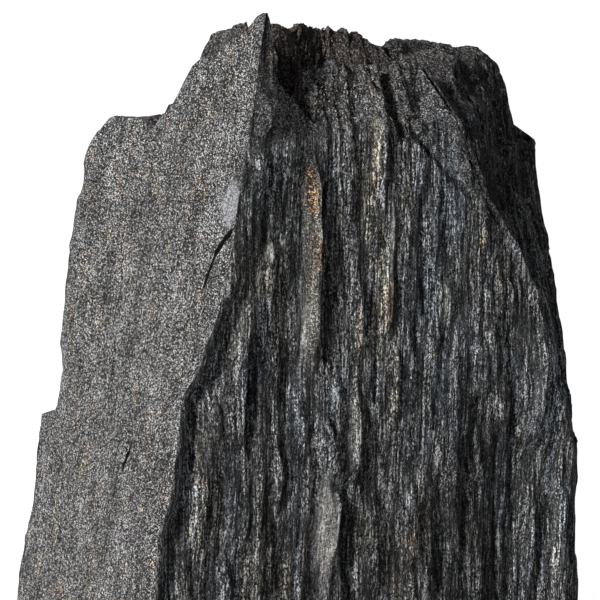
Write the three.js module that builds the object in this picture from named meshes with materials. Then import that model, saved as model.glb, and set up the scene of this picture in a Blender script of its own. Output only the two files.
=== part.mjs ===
// A schist post: one long splinter of foliated rock, cut flat at the foot and broken off at the top.
// The rock is a stack of upright sheets. The flat face on the left is one of them laid bare, and the
// ridged front and the dark flank show their split ends. Seen from the front, +X is to the right,
// -Y towards the viewer and +Z up, in millimetres. Plan places are measured from the point under
// the tallest tip, and the finished stone is moved to stand with the middle of its foot at the origin.
import * as THREE from 'three';

const TIP_HEIGHT = 1000;
const TIP_X = -44; // where the tallest tip stands, from the middle of the foot
const TIP_Y = -65;
const FLAT_LEAN = 0.185; // the upper flat face leans back by this much for each millimetre of height

// Mesh of the stone
const COARSE_HEIGHT = 716;
const LOW_ROWS = 21; // rows of the walls from the foot to COARSE_HEIGHT
const EVEN_HEIGHT = 876;
const MID_ROWS = 12; // rows from there to EVEN_HEIGHT
const RIM_ROWS = 7; // rows from there to the broken rim
const TOP_RINGS = 16; // rings from the rim to the core
const CORE = { x: 80, y: 84 }; // plan place where the rings of the broken top close
const SHEET_THICKNESS = 2.6;
const CORNER_FADE = 6; // the relief of a face dies away this far from its corners
const CHIP_REACH = 34; // a chipped corner pulls its faces along up to this far

// The flat face at its front and back edge, [height, x]. It leans back, and its front edge comes
// forward lower down.
const FLAT_TOP = [TIP_HEIGHT + 50, FLAT_LEAN * 50];
const FLAT_AT_ARRIS = [
  [0, -92], [300, -91], [535, -89], [716, -61], [800, -46], [860, -32.5], [905, -20], [950, -9.25], FLAT_TOP,
];
const FLAT_AT_BACK = [[0, -86], [320, -81], [580, FLAT_LEAN * (580 - TIP_HEIGHT)], FLAT_TOP];
const FRONT_Y = 0; // plane of the front, before its relief
const BACK_Y = 134; // plane of the back

// The sharp edge between the flat face and the front, [height, y]
const ARRIS = [
  [0, 4], [100, 6], [140, 11], [200, 10], [240, 3], [370, 6], [415, 12], [450, 3], [600, 6], [680, 4],
  [753, 0], [778, 5], [796, -0.5], [817, 1.5], [837, 5], [848, -1.5], [859, -6.5], [883, -10],
  [907, -8.5], [927, -6], [957, -5], [980, -3], [1000, -3],
];

// The ragged back edge of the flat face, [height, y]
const BACK_EDGE = [
  [0, 135], [105, 131], [170, 137], [235, 133], [275, 124], [340, 127], [375, 136], [490, 137], [545, 127],
  [580, 129], [620, 135], [716, 135],
  [746, 137], [761, 134], [803, 138], [808, 124], [826, 124], [838, 131], [863, 134], [902, 135],
  [910, 130], [919, 133], [940, 131],
];

// The edge between the front and the dark flank, [height, x, y]
const FLANK_EDGE = [
  [0, 148, -1], [105, 152, 3], [175, 158, 0], [275, 151, -3], [340, 147, 2], [450, 158, 3], [560, 166, 5],
  [650, 172, 6], [718, 171, 5], [770, 172, 5], [789, 171, 4], [797, 167, 2], [812, 162, 0], [837, 155, 0],
  [861, 147, 0], [885, 136, 0], [910, 119, 0], [925, 113, 0], [938, 106, 0], [949, 101, 0], [954, 96, 6],
  [958, 94, 10], [969, 91, 12], [1000, 88, 18],
];

// The outermost edge on the right, [height, x, y]
const OUTER_EDGE = [
  [0, 177, 15], [105, 181, 12], [140, 175, 15], [275, 178, 18], [345, 182, 13], [415, 181, 14],
  [445, 175, 16], [560, 178, 16], [640, 182, 12], [711, 180, 10],
  [760, 177, 10], [772, 179, 10], [789, 178, 10], [797, 174, 10], [834, 173, 15], [849, 175, 22],
  [864, 178, 30], [879, 180, 38], [904, 180, 48], [920, 181, 50], [929, 179, 50], [930.5, 168, 50],
  [945, 165, 50], [957, 161, 50], [963, 157, 50], [970, 150, 50], [1000, 146, 50],
];

// The back corner on the right, [height, x, y]
const BACK_CORNER = [
  [0, 174, 129], [105, 178, 127], [205, 170, 131], [340, 167, 126], [380, 174, 129], [520, 177, 128],
  [610, 175, 125], [645, 168, 124], [750, 175, 129],
  [880, 171, 124], [930, 164, 120], [1000, 150, 112],
];

// The broken top. Each sheet of schist, from one x to another, snapped off along a line [y, height];
// beside it the top falls steeply. A tilt is the change of height for each millimetre of x.
const SHEETS = [
  { // the flat face
    from: -60, to: 0.5, fall: 5,
    line: [[-8, 1001], [2, 1001], [7, 998], [10, 995], [17, 989], [25, 986], [31, 981], [42, 977],
      [49, 973], [62, 957], [75, 945], [81, 941], [87, 946], [113, 943], [127, 934], [133, 926], [142, 915]],
  },
  { // crumbling sheet behind it, across a narrow crack
    from: 3.5, to: 12, fall: 4,
    line: [[10, 960], [15, 988], [21, 994], [26, 991], [29, 995], [34, 991], [39, 988], [46, 988], [53, 981],
      [60, 972], [67, 961], [76, 948], [95, 938], [140, 918]],
  },
  { // front lip of the hollow
    from: 1, to: 29, fall: 4, tilt: -0.83,
    line: [[-12, 974], [3, 974], [8, 958], [14, 948], [30, 942], [44, 950], [140, 925]],
  },
  { // first tongue
    from: 29, to: 50, fall: 2.2,
    line: [[-10, 928], [-1, 950], [6, 961], [13, 974], [19, 972], [26, 948], [40, 943]],
  },
  { from: 43, to: 47, fall: 2.2, line: [[4, 950], [14, 978], [20, 975], [27, 948]] },
  {
    from: 50, to: 66, fall: 2.2,
    line: [[-10, 928], [-1, 951], [6, 961], [13, 973], [21, 970], [30, 950], [40, 945]],
  },
  { // second tongue
    from: 75, to: 91, fall: 2.2,
    line: [[-10, 930], [-1, 950], [6, 961], [14, 973], [22, 970], [32, 958], [40, 955]],
  },
  { // right shoulder
    from: 98, to: 127, fall: 1.5,
    line: [[-4, 940], [4, 950], [12, 957], [25, 966], [42, 972], [54, 973], [84, 950], [140, 925]],
  },
  { from: 127, to: 147, fall: 1.5, line: [[15, 945], [32, 961], [50, 970], [84, 950], [140, 925]] },
  { // outer ledge
    from: 167, to: 200, fall: 5,
    line: [[20, 918], [44, 926], [50, 929], [70, 932], [100, 925], [142, 915]],
  },
];

// The highest line of the top seen from the front, [x, height], and how the stone falls on both sides of it
const CREST = [
  [12, 962], [24, 984], [33, 990], [43, 987], [45, 985], [51, 988], [60, 985], [77, 983], [84, 980],
  [91, 974], [95, 977], [101, 978], [125, 975], [140, 970], [150, 970], [157, 963], [162, 957],
  [164, 950], [166, 940], [169, 928], [190, 915],
];
const CREST_SECTION = [
  [20, -50], [30, -34], [40, -13], [48, 0], [55, 0], [60, -8], [72, -12], [77, -23], [93, -27], [98, -38],
  [116, -41], [122, -52], [140, -56],
];

const TOP_FLOOR = 900;

// Notches cut into the tongues, from one plan place to another
const NOTCHES = [{ from: [66, 20], to: [79, -6], width: 4, depth: 11 }];

// Slabs of the front, from their top to their bottom end: each rises to the right over its width and
// breaks off sharply at its line
const BREAK = 3.5; // a slab breaks off over this width
const FRONT_SLABS = [
  { top: [4.5, 973], bottom: [-2.5, 945], width: 8, rise: 4 },
  { top: [-2.5, 947], bottom: [-7.5, 916], width: 8, rise: 3.5 },
  { top: [15, 961], bottom: [14, 901], width: 11, rise: 2 },
  { top: [27, 939], bottom: [28, 880], width: 8.5, rise: 5.5 },
  { top: [27.5, 901], bottom: [26, 840], width: 9.5, rise: 5 },
  { top: [57.5, 919], bottom: [59, 887], width: 7, rise: 2.5 },
  { top: [3, 905], bottom: [3.5, 872], width: 8, rise: 3 },
  { top: [142, 887], bottom: [152.5, 844], width: 8, rise: 3 },
  { top: [-9.5, 886], bottom: [-10, 812], width: 8, rise: 4 },
  { top: [50.5, 882], bottom: [51.5, 842], width: 6, rise: 3 },
  { top: [100, 877], bottom: [100, 853], width: 9, rise: 2 },
  { top: [151.5, 850], bottom: [149.5, 783], width: 11, rise: 4 },
  { top: [118, 847], bottom: [120, 816], width: 9, rise: 2.5 },
  { top: [50.5, 832], bottom: [48.5, 780], width: 6, rise: 3.5 },
  { top: [32, 824], bottom: [43, 785], width: 12, rise: 4 },
  { top: [105, 813], bottom: [104.5, 761], width: 8, rise: 2 },
  { top: [-28.5, 809], bottom: [-30, 764], width: 7, rise: 3 },
  { top: [40, 791], bottom: [37.5, 746], width: 11, rise: 5 },
  { top: [58.5, 786], bottom: [61, 729], width: 9, rise: 3 },
  { top: [4, 782], bottom: [4.5, 738], width: 12, rise: 3 },
  { top: [167.5, 778], bottom: [170.5, 695], width: 12, rise: 3 },
  { top: [12, 690], bottom: [16, 560], width: 14, rise: 5 },
  { top: [60, 700], bottom: [64, 540], width: 18, rise: 5 },
  { top: [106, 640], bottom: [102, 480], width: 16, rise: 5 },
  { top: [-30, 620], bottom: [-28, 470], width: 14, rise: 4 },
  { top: [30, 500], bottom: [26, 330], width: 16, rise: 5 },
  { top: [128, 460], bottom: [132, 300], width: 18, rise: 5 },
  { top: [-10, 380], bottom: [-6, 200], width: 14, rise: 5 },
  { top: [70, 340], bottom: [76, 150], width: 18, rise: 5 },
  { top: [-52, 260], bottom: [-48, 90], width: 14, rise: 4 },
  { top: [110, 230], bottom: [112, 60], width: 14, rise: 4 },
];

// Single ridges (positive rise) and furrows (negative) of the front
const FRONT_FEATURES = [
  { top: [69.5, 952], bottom: [88, 934], width: 3, rise: -4 },
  { top: [88, 934], bottom: [110, 912], width: 3.5, rise: -3 },
  { top: [31.5, 925], bottom: [33, 846], width: 5, rise: -5 },
  { top: [-5, 861], bottom: [-6.5, 811], width: 5, rise: -5 },
  { top: [113.5, 819], bottom: [110, 738], width: 4.5, rise: -3 },
  { top: [44, 788], bottom: [47.5, 728], width: 5, rise: -6 },
  { top: [60, 700], bottom: [66, 540], width: 16, rise: -5 },
  { top: [-8, 640], bottom: [-2, 430], width: 12, rise: 5 },
  { top: [118, 560], bottom: [112, 370], width: 14, rise: 5 },
  { top: [36, 420], bottom: [28, 230], width: 12, rise: -6 },
  { top: [92, 300], bottom: [98, 80], width: 13, rise: 5 },
  { top: [-40, 330], bottom: [-36, 110], width: 12, rise: -5 },
];
const HAND_SWAY = 0.2; // the single features bend this much as far aside as the strands

// The same for the back
const BACK_FEATURES = [
  { top: [120, 880], bottom: [112, 640], width: 26, rise: -7 },
  { top: [40, 900], bottom: [52, 700], width: 20, rise: 5 },
  { top: [-20, 800], bottom: [-34, 520], width: 18, rise: -6 },
  { top: [84, 620], bottom: [90, 380], width: 22, rise: 6 },
  { top: [20, 560], bottom: [14, 300], width: 24, rise: -6 },
  { top: [140, 480], bottom: [134, 200], width: 20, rise: -7 },
  { top: [-50, 420], bottom: [-44, 150], width: 18, rise: 5 },
  { top: [66, 330], bottom: [60, 40], width: 22, rise: -6 },
];

const mix = (a, b, t) => a + (b - a) * t;
const clamp01 = (t) => Math.min(1, Math.max(0, t));
const smooth = (t) => clamp01(t) ** 2 * (3 - 2 * clamp01(t));
const fraction = (value) => value - Math.floor(value);

// Values of a hand-drawn line [at, value, ...] at one place; it stays level past its two ends
function along(line, at) {
  let k = 1;
  while (k < line.length - 1 && line[k][0] < at) {
    k += 1;
  }
  const t = clamp01((at - line[k - 1][0]) / (line[k][0] - line[k - 1][0]));
  return line[k].slice(1).map((value, n) => mix(line[k - 1][n + 1], value, t));
}

// A fixed value between -1 and 1 for each whole i and j
const knot = (i, j, seed) => 2 * fraction(Math.sin(i * 127.1 + j * 311.7 + seed * 74.7) * 43758.5453) - 1;

// A fixed pattern of lumps between -1 and 1, one for each unit of u and v
function lumps(u, v, seed) {
  const i = Math.floor(u);
  const j = Math.floor(v);
  const s = smooth(u - i);
  const low = mix(knot(i, j, seed), knot(i + 1, j, seed), s);
  const high = mix(knot(i, j + 1, seed), knot(i + 1, j + 1, seed), s);
  return mix(low, high, smooth(v - j));
}

// The same with sharp crests at 1 and wide hollows down to -1
const ribs = (u, v, seed) => 1 - 2 * Math.abs(lumps(u, v, seed)) ** 0.7;

// Long shards about one unit apart, pointed at their ends, each tilted and standing at its own height
function shards(u, v, seed) {
  let nearest = Infinity;
  let height = 0;
  for (let i = Math.floor(u) - 1; i <= Math.floor(u) + 1; i += 1) {
    for (let j = Math.floor(v) - 1; j <= Math.floor(v) + 1; j += 1) {
      const centreU = i + 0.5 + 0.42 * knot(i, j, seed);
      const centreV = j + 0.5 + 0.42 * knot(i, j, seed + 1);
      const distance = Math.hypot(u - centreU, v - centreV);
      if (distance < nearest) {
        nearest = distance;
        height = 0.6 * knot(i, j, seed + 2) + (0.9 + 0.7 * knot(i, j, seed + 3)) * (u - centreU);
      }
    }
  }
  return height;
}

// How far (u, v) lies inside a streak that narrows to its two ends: 1 on its line, 0 outside
function insideStreak(u, v, start, end, width) {
  const du = end[0] - start[0];
  const dv = end[1] - start[1];
  const t = clamp01(((u - start[0]) * du + (v - start[1]) * dv) / (du * du + dv * dv));
  const distance = Math.hypot(u - start[0] - t * du, v - start[1] - t * dv);
  return smooth(1 - distance / (width * (0.4 + 2.4 * t * (1 - t))));
}

// How far a slab stands out at (u, v), as a share of its rise: blunt above and tapering below
function onSlab(u, v, top, bottom, width) {
  const t = (v - top[1]) / (bottom[1] - top[1]);
  const beside = u - mix(top[0], bottom[0], t);
  const profile = beside < 0 ? smooth(1 + beside / width) : smooth(1 - beside / BREAK);
  return profile * smooth(4 * t) * smooth(2.4 * (1 - t));
}

// Flat levels one unit apart, with short steps between them
function flakes(u, v, seed) {
  const level = 2.5 * lumps(u, v, seed);
  return Math.floor(level) + smooth((fraction(level) - 0.75) / 0.25);
}

const relief = (features, shape, u, v) => features.reduce((sum, { top, bottom, width, rise }) => (
  sum + rise * shape(u, v, top, bottom, width)
), 0);

// How far the strands bend aside at a place
const sway = (u, v) => 3.4 * lumps(u / 34, v / 90, 40) + 1.2 * lumps(u / 13, v / 40, 41);

// Ridged front: long swells, upright shards, the single slabs, ridges and furrows, and a gutter along
// the lower arris
function frontRelief(x, z) {
  const swell = 2.2 * lumps((x + 5 * lumps(x / 60, z / 130, 1)) / 36, z / 170, 2);
  const broad = (1.3 + 1.7 * smooth((745 - z) / 60)) * shards((x + sway(x, z)) / 12, z / 90, 18);
  const near = x + HAND_SWAY * sway(x, z);
  const single = relief(FRONT_FEATURES, insideStreak, near, z) + relief(FRONT_SLABS, onSlab, near, z);
  const besideArris = x - along(FLAT_AT_ARRIS, z)[0];
  const gutter = smooth(1 - Math.abs(besideArris - 9) / 9) * smooth((895 - z) / 25) * smooth((z - 560) / 90);
  return swell + broad + single - 6 * gutter;
}

// Dark flank: the ends of the sheets, each standing out past the next, and broken blocks at its top
function flankRelief(x, z) {
  const step = x / 11 + 0.7 * lumps(x / 30, z / 45, 4);
  const blocks = 2.4 * lumps(x / 8, z / 15, 28) * smooth((z - 895) / 30);
  return 3 * (0.5 - fraction(step)) + 1.5 * lumps(x / 9, z / 38, 5) + blocks;
}

// Back: the split ends of the sheets again, coarser than in front
function backRelief(x, z) {
  const fibre = x + 7 * lumps(x / 70, z / 140, 6);
  const coarse = 3 * lumps(fibre / 46, z / 150, 7) + 2 * ribs(fibre / 24, z / 140, 8);
  return coarse + 1.8 * shards((x + sway(x, z)) / 12, z / 75, 25) + relief(BACK_FEATURES, insideStreak, x, z);
}

// Right side: a cleavage face from which some sheets flaked off, each about SHEET_THICKNESS
function sideRelief(y, z) {
  return SHEET_THICKNESS * flakes(y / 58, z / 190, 9) + 0.9 * lumps(y / 21, z / 60, 10);
}

// Flat face: it only swells a little above, and has lost a few thin sheets lower down
function flatRelief(y, z) {
  const lost = Math.min(0, SHEET_THICKNESS * flakes(y / 66, z / 210, 15)) * smooth((650 - z) / 90);
  return 1.2 * lumps(y / 42, z / 110, 11) + 0.8 * lost;
}

// A corner has a plain place, which its two faces span, and a chip, which moves only what is near it
const CORNERS = {
  arris: {
    place: (z) => [along(FLAT_AT_ARRIS, z)[0], FRONT_Y],
    chip: (z) => [0, along(ARRIS, z)[0] - FRONT_Y],
  },
  flankEdge: { place: (z) => along(FLANK_EDGE, z), chip: () => [0, 0] },
  outerEdge: { place: (z) => along(OUTER_EDGE, z), chip: () => [0, 0] },
  backCorner: { place: (z) => along(BACK_CORNER, z), chip: () => [0, 0] },
  backEdge: {
    place: (z) => [along(FLAT_AT_BACK, z)[0], BACK_Y],
    chip: (z) => [0, along(BACK_EDGE, z)[0] - BACK_Y],
  },
};

// The five faces in order round the post, against the clock seen from above. Each relief is drawn
// over the height and over x or y, whichever runs along the face.
const FACES = [
  { from: CORNERS.arris, to: CORNERS.flankEdge, columns: 42, relief: frontRelief, over: 0 },
  { from: CORNERS.flankEdge, to: CORNERS.outerEdge, columns: 10, relief: flankRelief, over: 0 },
  { from: CORNERS.outerEdge, to: CORNERS.backCorner, columns: 7, relief: sideRelief, over: 1 },
  { from: CORNERS.backCorner, to: CORNERS.backEdge, columns: 18, relief: backRelief, over: 0 },
  { from: CORNERS.backEdge, to: CORNERS.arris, columns: 10, relief: flatRelief, over: 1 },
];

// Plan place of a wall at a share u of the way along its face, at height z
function wall({ from, to, relief, over }, u, z) {
  const [x0, y0] = from.place(z);
  const [x1, y1] = to.place(z);
  const width = Math.hypot(x1 - x0, y1 - y0);
  const place = [mix(x0, x1, u), mix(y0, y1, u)];
  const fade = smooth(Math.min(u, 1 - u) * width / CORNER_FADE);
  const out = fade * relief(place[over], z) / width;
  const nearFrom = smooth(1 - u * width / CHIP_REACH);
  const nearTo = smooth(1 - (1 - u) * width / CHIP_REACH);
  const chipFrom = from.chip(z);
  const chipTo = to.chip(z);
  return [
    place[0] + out * (y1 - y0) + nearFrom * chipFrom[0] + nearTo * chipTo[0],
    place[1] - out * (x1 - x0) + nearFrom * chipFrom[1] + nearTo * chipTo[1],
  ];
}

// Height of the broken top over a plan place
function topHeight(x, y) {
  const warpX = x + 1.5 * lumps(x / 14, y / 14, 12);
  const warpY = y + 2 * lumps(x / 12, y / 16, 13);
  const crestY = warpY + 6 * lumps(x / 30, y / 50, 16);
  let height = Math.max(TOP_FLOOR, along(CREST, warpX)[0] + along(CREST_SECTION, crestY)[0]);
  for (const { from, to, fall, line, tilt = 0 } of SHEETS) {
    const beside = Math.max(0, from - warpX, warpX - to);
    const onSheet = along(line, warpY)[0] + tilt * (Math.min(to, Math.max(from, warpX)) - from);
    height = Math.max(height, onSheet - fall * beside);
  }
  for (const { from, to, width, depth } of NOTCHES) {
    height -= depth * insideStreak(x, y, from, to, width);
  }
  return height + 1.5 * lumps(x / 12, y / 14, 14);
}

// Height at which a column of the wall meets the broken top, found by halving
function rimHeight(face, u) {
  let low = TOP_FLOOR - 60;
  let high = TIP_HEIGHT + 20;
  for (let step = 0; step < 24; step += 1) {
    const middle = (low + high) / 2;
    if (topHeight(...wall(face, u, middle)) > middle) {
      low = middle;
    } else {
      high = middle;
    }
  }
  return low;
}

// Points from the rim almost to the core, evenly far apart along the uneven surface
function topLine([x0, y0]) {
  const samples = 160;
  const trail = [];
  for (let k = 0; k <= samples; k += 1) {
    const x = mix(x0, CORE.x, k / samples);
    const y = mix(y0, CORE.y, k / samples);
    const point = [x, y, topHeight(x, y)];
    const before = trail[k - 1] ?? { point, length: 0 };
    const step = Math.hypot(...point.map((value, n) => value - before.point[n]));
    trail.push({ point, length: before.length + step });
  }
  const rings = [];
  for (let k = 1; k < TOP_RINGS; k += 1) {
    const length = trail[samples].length * k / TOP_RINGS;
    rings.push(trail.find((stop) => stop.length >= length).point);
  }
  return rings;
}

// One column of points: up the wall to the rim, then over the top
function column(face, u) {
  const rim = rimHeight(face, u);
  const heights = [];
  for (let k = 0; k < LOW_ROWS; k += 1) {
    heights.push(COARSE_HEIGHT * k / LOW_ROWS);
  }
  for (let k = 0; k < MID_ROWS; k += 1) {
    heights.push(mix(COARSE_HEIGHT, EVEN_HEIGHT, k / MID_ROWS));
  }
  for (let k = 0; k <= RIM_ROWS; k += 1) {
    heights.push(mix(EVEN_HEIGHT, rim, k / RIM_ROWS));
  }
  const points = heights.map((z) => [...wall(face, u, z), z]);
  return points.concat(topLine(points[points.length - 1]));
}

// Joins the columns into one closed skin: foot, walls, rim and broken top
function stoneGeometry() {
  const columns = FACES.flatMap((face) => (
    Array.from({ length: face.columns }, (_, k) => column(face, k / face.columns))
  ));
  const rows = columns[0].length;
  const points = columns.flat();
  const footCentre = points.push([CORE.x, CORE.y, 0]) - 1;
  const core = points.push([CORE.x, CORE.y, topHeight(CORE.x, CORE.y)]) - 1;
  const triangles = [];
  columns.forEach((_, here) => {
    const left = here * rows;
    const right = ((here + 1) % columns.length) * rows;
    triangles.push(footCentre, right, left);
    for (let k = 0; k < rows - 1; k += 1) {
      triangles.push(left + k, right + k, right + k + 1);
      triangles.push(left + k, right + k + 1, left + k + 1);
    }
    triangles.push(left + rows - 1, right + rows - 1, core);
  });
  const geometry = new THREE.BufferGeometry();
  geometry.setAttribute('position', new THREE.Float32BufferAttribute(points.flat(), 3));
  geometry.setIndex(triangles);
  geometry.translate(TIP_X, TIP_Y, 0);
  geometry.computeVertexNormals();
  return geometry;
}

const schist = new THREE.MeshStandardMaterial({ color: 0x4a4a49, roughness: 0.75, metalness: 0 });
const post = new THREE.Mesh(stoneGeometry(), schist);
post.name = 'schist_post';

const group = new THREE.Group();
group.add(post);

export default group;
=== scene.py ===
"""A schist post: one upright splinter of foliated rock with a broken top.

The stone is drawn as five walls round a flat foot and a broken top over them, in millimetres from
the point under its tallest tip, and then placed in the frame in metres. +X is to the right of the
ridged front, -Y towards the viewer and +Z up.
"""
import math

import bpy
import numpy as np
from mathutils import Euler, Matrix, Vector


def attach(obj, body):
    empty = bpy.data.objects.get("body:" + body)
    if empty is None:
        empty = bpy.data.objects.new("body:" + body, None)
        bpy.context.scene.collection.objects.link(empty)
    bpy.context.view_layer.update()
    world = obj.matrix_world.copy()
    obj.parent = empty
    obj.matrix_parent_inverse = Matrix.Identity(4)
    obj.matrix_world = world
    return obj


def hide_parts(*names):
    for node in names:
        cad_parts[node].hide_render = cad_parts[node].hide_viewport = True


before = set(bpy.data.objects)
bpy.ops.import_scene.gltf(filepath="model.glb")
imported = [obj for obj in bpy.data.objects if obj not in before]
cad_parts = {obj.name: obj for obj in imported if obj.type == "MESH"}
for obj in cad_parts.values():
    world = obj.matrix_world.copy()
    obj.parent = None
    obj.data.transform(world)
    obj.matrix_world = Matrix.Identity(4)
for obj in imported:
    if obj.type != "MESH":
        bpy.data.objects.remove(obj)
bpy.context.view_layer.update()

MM = 0.001
TIP = np.array([-44.0, -65.0, 0.0])  # the point under the tallest tip, from the middle of the foot, mm
TIP_HEIGHT = 1000.0
FLAT_LEAN = 0.185  # the upper flat face leans back by this much for each millimetre of height
FRONT_Y = 0.0
BACK_Y = 134.0

# Rows of the stone's skin
COARSE_HEIGHT = 716.0
LOW_ROWS = 66  # rows of the walls from the foot to COARSE_HEIGHT
EVEN_HEIGHT = 876.0
MID_ROWS = 70  # rows from there to EVEN_HEIGHT
RIM_ROWS = 44  # rows from there to the broken rim
TOP_RINGS = 92  # rings from the rim to the core
CORE = (80.0, 84.0)  # plan place where the rings of the broken top close
RIM_HALVINGS = 24  # the height of the rim is found by halving a span so many times
STEPS_TO_CORE = 500  # steps by which the way from the rim to the core is measured

# Sizes of the relief, in mm
CORNER_FADE = 6.0  # the relief of a face dies away this far from its corners
CHIP_REACH = 34.0  # a chipped corner pulls its faces along up to this far
BREAK_WIDTH = 1.1  # a slab breaks off over this width
SHEET_THICKNESS = 2.6
TOP_FLOOR = 900.0  # the broken top falls no lower, but for its notches and crumbs
LOWER_PART = 700.0  # the shards of the front stand out more below this height
SHARD_RISE = (0.75, 3.0)  # how far they stand out above and below it
GUTTER_WIDTH = 9.0  # half the width of the gutter down the front beside the arris
GUTTER_DEPTH = 6.0
GUTTER_SPAN = (560, 90, 895, 25)  # its low end, the fade above that, its high end and the fade below
BLOCKS_FROM = 895.0  # the flank breaks into blocks above this height
LOST_BELOW = 650.0  # the flat face has lost thin sheets below this height
HAND_SWAY = 0.2  # the single features bend this much as far aside as the strands

# The rusty ridge, on which the shards hardly show: (x, height) of both ends and half width
CALM_RIDGE = (23, 945), (21, 835), 14

# A diagonal break down the front, right of which it is grainy: (x, height) of its upper end, and how
# far it runs to the right for each millimetre down
DIAGONAL_START = (69.5, 952)
DIAGONAL_RUN = 1.01

# The flat face at its front and back edge, [height, x]: it leans, and its front edge comes forward
# lower down
FLAT_TOP = [TIP_HEIGHT + 50, FLAT_LEAN * 50]
FLAT_AT_ARRIS = [
    [0, -92], [300, -91], [535, -89], [716, -61], [800, -46], [860, -32.5], [905, -20], [950, -9.25],
    FLAT_TOP,
]
FLAT_AT_BACK = [[0, -86], [320, -81], [580, FLAT_LEAN * (580 - TIP_HEIGHT)], FLAT_TOP]

# The sharp edge between the flat face and the front, [height, y]
ARRIS = [
    [0, 4], [100, 6], [140, 11], [200, 10], [240, 3], [370, 6], [415, 12], [450, 3], [600, 6], [680, 4],
    [753, 0], [778, 5], [796, -0.5], [817, 1.5], [837, 5], [848, -1.5], [859, -6.5], [883, -10],
    [907, -8.5], [927, -6], [957, -5], [980, -3], [1000, -3],
]

# The ragged back edge of the flat face, [height, y]
BACK_EDGE = [
    [0, 135], [105, 131], [170, 137], [235, 133], [275, 124], [340, 127], [375, 136], [490, 137],
    [545, 127], [580, 129], [620, 135], [716, 135], [746, 137], [761, 134], [803, 138], [808, 124],
    [826, 124], [838, 131], [863, 134], [902, 135], [910, 130], [919, 133], [940, 131],
]

# The edge between the front and the dark flank, [height, x, y]
FLANK_EDGE = [
    [0, 148, -1], [105, 152, 3], [175, 158, 0], [275, 151, -3], [340, 147, 2], [450, 158, 3], [560, 166, 5],
    [650, 172, 6], [718, 171, 5], [770, 172, 5], [789, 171, 4], [797, 167, 2], [812, 162, 0], [837, 155, 0],
    [861, 147, 0], [885, 136, 0], [910, 119, 0], [925, 113, 0], [938, 106, 0], [949, 101, 0], [954, 96, 6],
    [958, 94, 10], [969, 91, 12], [1000, 88, 18],
]

# The outermost edge on the right, [height, x, y]
OUTER_EDGE = [
    [0, 177, 15], [105, 181, 12], [140, 175, 15], [275, 178, 18], [345, 182, 13], [415, 181, 14],
    [445, 175, 16], [560, 178, 16], [640, 182, 12], [711, 180, 10], [760, 177, 10], [772, 179, 10],
    [789, 178, 10], [797, 174, 10], [834, 173, 15], [849, 175, 22], [864, 178, 30], [879, 180, 38],
    [904, 180, 48], [920, 181, 50], [927, 179.5, 50], [929, 168, 50], [945, 165, 50], [957, 161, 50],
    [963, 157, 50], [970, 150, 50], [1000, 146, 50],
]

# The back corner on the right, [height, x, y]
BACK_CORNER = [
    [0, 174, 129], [105, 178, 127], [205, 170, 131], [340, 167, 126], [380, 174, 129], [520, 177, 128],
    [610, 175, 125], [645, 168, 124], [750, 175, 129], [880, 171, 124], [930, 164, 120], [1000, 150, 112],
]

# The broken top: sheets of schist from one x to another, each snapped off along a line [y, height].
# Beside a sheet the top falls by its fall for each millimetre, and a tilt is the change of height for
# each millimetre of x.
SHEETS = [
    dict(name="flat face", start=-60, end=0.5, fall=5, tilt=0,
         line=[[-8, 1002], [2, 1002], [7, 999], [10, 995], [17, 989], [25, 986], [31, 981], [42, 977],
               [49, 973], [62, 957], [75, 945], [81, 941], [87, 946], [113, 943], [127, 934], [133, 926],
               [142, 915]]),
    dict(name="crumbling sheet", start=3.5, end=12, fall=4, tilt=0,
         line=[[10, 960], [15, 988], [21, 994], [26, 991], [29, 995], [34, 991], [39, 988], [46, 988],
               [53, 981], [60, 972], [67, 961], [76, 948], [95, 938], [140, 918]]),
    dict(name="front lip", start=1, end=29, fall=4, tilt=-0.83,
         line=[[-12, 974], [3, 974], [8, 958], [14, 948], [30, 942], [44, 950], [140, 925]]),
    dict(name="first tongue", start=29, end=50, fall=2.2, tilt=0,
         line=[[-10, 928], [-1, 950], [6, 961], [13, 974], [19, 972], [26, 948], [40, 943]]),
    dict(name="its tip", start=43, end=47, fall=2.2, tilt=0,
         line=[[4, 950], [14, 978], [20, 975], [27, 948]]),
    dict(name="its shoulder", start=50, end=66, fall=2.2, tilt=0,
         line=[[-10, 928], [-1, 951], [6, 961], [13, 973], [21, 970], [30, 950], [40, 945]]),
    dict(name="second tongue", start=75, end=91, fall=2.2, tilt=0,
         line=[[-10, 930], [-1, 950], [6, 961], [14, 973], [22, 970], [32, 958], [40, 955]]),
    dict(name="right shoulder", start=98, end=127, fall=1.5, tilt=0,
         line=[[-4, 940], [4, 950], [12, 957], [25, 966], [42, 972], [54, 973], [84, 950], [140, 925]]),
    dict(name="right end", start=127, end=147, fall=1.5, tilt=0,
         line=[[15, 945], [32, 961], [50, 970], [84, 950], [140, 925]]),
    dict(name="outer ledge", start=167, end=200, fall=5, tilt=0,
         line=[[20, 918], [44, 926], [50, 929], [70, 932], [100, 925], [142, 915]]),
]

# The highest line of the top seen from the front, [x, height], and its cross section, [y, rise]
CREST = [
    [12, 962], [24, 984], [33, 990], [43, 987], [45, 985], [51, 988], [60, 985], [77, 983], [84, 980],
    [91, 974], [95, 977], [101, 978], [125, 975], [140, 970], [150, 970], [157, 963], [162, 957],
    [164, 950], [166, 940], [169, 928], [190, 915],
]
CREST_SECTION = [
    [20, -50], [30, -34], [40, -13], [48, 0], [55, 0], [60, -8], [72, -12], [77, -23], [93, -27],
    [98, -38], [116, -41], [122, -52], [140, -56],
]

# A notch in the broken top, (x, y) of both ends, half width and rise
NOTCHES = [((66, 20), (79, -6), 4, -11)]

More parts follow.
